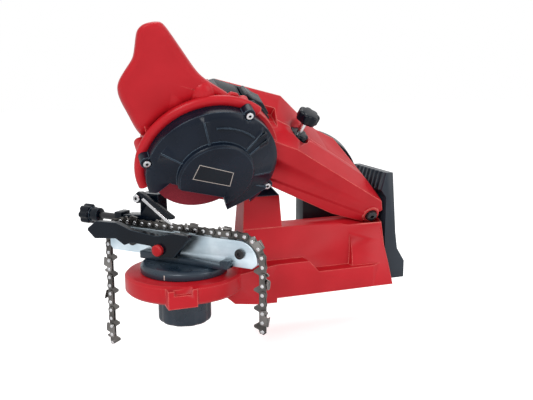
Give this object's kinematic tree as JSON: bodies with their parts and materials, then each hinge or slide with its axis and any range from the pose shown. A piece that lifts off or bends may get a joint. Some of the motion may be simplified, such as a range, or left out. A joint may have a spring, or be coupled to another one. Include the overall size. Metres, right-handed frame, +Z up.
{
  "type": "electric chainsaw sharpener",
  "caption": "Bench chainsaw sharpener with a tilting grinding head, turning chain vice and battery slide.",
  "frame": {"origin": "centre of the bench-foot bolt pattern, on the bench surface", "axes": "+Z up, +X from the turning vice to the battery slide, -Y towards the user"},
  "size_m": [0.3642, 0.2156, 0.3555],
  "materials": {
    "red_plastic": "satin",
    "dark_plastic": "satin",
    "black_plastic": "satin",
    "cast_aluminium": "satin",
    "plate_steel": "satin",
    "bright_steel": "polished",
    "motor_steel": "satin",
    "bronze": "satin",
    "board": "satin",
    "grit": "matte"
  },
  "bodies": {
    "base": {"base_casting": "red_plastic", "column_cap": "dark_plastic", "stop_bolt": "bright_steel", "arm_spring": "bright_steel", "electronics_cover": "dark_plastic", "cover_screws": "bright_steel", "drive_board": "board", "pivot_bolt": "bright_steel", "pivot_nut": "bright_steel", "battery_holder": "dark_plastic", "terminal_block": "dark_plastic", "terminal_blades": "bronze", "electronics_housing": "dark_plastic"},
    "arm": {"head_shell_near": "red_plastic", "head_shell_far": "red_plastic", "shell_screws": "bright_steel", "switch_surround": "black_plastic", "wheel_guard": "dark_plastic", "guard_screws": "bright_steel", "motor": "motor_steel", "depth_bush": "bronze", "pivot_bush": "bronze", "cable_duct": "black_plastic", "spindle_bearings": "bright_steel"},
    "switch_rocker": {"switch_rocker": "black_plastic"},
    "spindle": {"spindle": "bright_steel", "grinding_wheel": "grit", "inner_flange": "bright_steel", "outer_flange": "bright_steel", "spindle_nut": "bright_steel"},
    "depth_screw": {"depth_screw": "bright_steel"},
    "depth_knob": {"depth_knob": "black_plastic"},
    "depth_lock": {"depth_lock": "black_plastic"},
    "vice": {"turntable": "cast_aluminium", "vice_body": "cast_aluminium", "rail_plate_front": "plate_steel", "rail_plate_back": "plate_steel", "rail_screws": "bright_steel", "rail_nuts": "bright_steel", "rail_spacers": "bright_steel", "lever_bolt": "bright_steel", "lever_cap": "red_plastic", "screw_bearing": "cast_aluminium", "vice_bolt": "bright_steel", "chain_drive_links": "plate_steel", "chain_tie_straps": "plate_steel", "chain_cutters_right": "bright_steel", "chain_cutters_left": "bright_steel", "chain_rivets": "bright_steel"},
    "clamp_lever": {"clamp_lever": "black_plastic"},
    "chain_stop": {"stop_carriage": "cast_aluminium", "pawl_bolt": "bright_steel"},
    "pawl": {"pawl": "black_plastic", "pawl_blade": "bright_steel"},
    "adjusting_knob": {"adjusting_screw": "bright_steel", "adjusting_knob": "black_plastic"},
    "lock_knob": {"lock_knob": "black_plastic"}
  },
  "joints": [
    {"name": "arm_swing", "type": "hinge", "parent": "base", "child": "arm", "pos_m": [0.0665, -0.02345, 0.07466], "axis": [0, -0.866, -0.5], "range_deg": [0, 5.8], "stiffness_Nm_per_rad": 12, "springref_deg": -34.38},
    {"name": "wheel_spin", "type": "hinge", "parent": "arm", "child": "spindle", "pos_m": [-0.1503, -0.06988, 0.15508], "axis": [0, -0.866, -0.5], "continuous": true},
    {"name": "depth_travel", "type": "slide", "parent": "arm", "child": "depth_screw", "axis": [0.2756, -0.4806, 0.8325], "range_m": [-0.005, 0.00375]},
    {"name": "depth_turn", "type": "hinge", "parent": "depth_screw", "child": "depth_knob", "pos_m": [-0.03132, -0.05294, 0.19573], "axis": [0.2756, -0.4806, 0.8325], "range_deg": [-1441, 1081]},
    {"name": "depth_lock_turn", "type": "hinge", "parent": "arm", "child": "depth_lock", "pos_m": [-0.03794, -0.0414, 0.17575], "axis": [0.2756, -0.4806, 0.8325], "range_deg": [0, 180]},
    {"name": "vice_turn", "type": "hinge", "parent": "base", "child": "vice", "pos_m": [-0.16, -0.03, 0.04], "axis": [0, 0, 1], "range_deg": [-84, 0]},
    {"name": "lock_knob_turn", "type": "hinge", "parent": "vice", "child": "lock_knob", "pos_m": [-0.16, -0.03, 0], "axis": [0, 0, 1], "range_deg": [0, 360]},
    {"name": "lever_lift", "type": "hinge", "parent": "vice", "child": "clamp_lever", "pos_m": [-0.18408, -0.03015, 0.064], "axis": [0.7431, 0.6691, 0], "range_deg": [0, 25]},
    {"name": "stop_travel", "type": "slide", "parent": "vice", "child": "chain_stop", "axis": [0.6691, -0.7431, 0], "range_m": [-0.00125, 0.005]},
    {"name": "adjusting_turn", "type": "hinge", "parent": "vice", "child": "adjusting_knob", "pos_m": [-0.23733, 0.07531, 0.084], "axis": [0.6691, -0.7431, 0], "range_deg": [-361, 1441]},
    {"name": "pawl_lift", "type": "hinge", "parent": "chain_stop", "child": "pawl", "pos_m": [-0.19769, 0.00738, 0.112], "axis": [0.7431, 0.6691, 0], "range_deg": [-35, 0]},
    {"name": "switch_rock", "type": "hinge", "parent": "arm", "child": "switch_rocker", "pos_m": [-0.10067, -0.06444, 0.21566], "axis": [0, -0.866, -0.5], "range_deg": [-4, 0]}
  ],
  "couplings": [
    {"joint": "depth_turn", "follows": "depth_travel", "rad_per_m": 5026.5},
    {"joint": "adjusting_turn", "follows": "stop_travel", "rad_per_m": 5026.5}
  ]
}
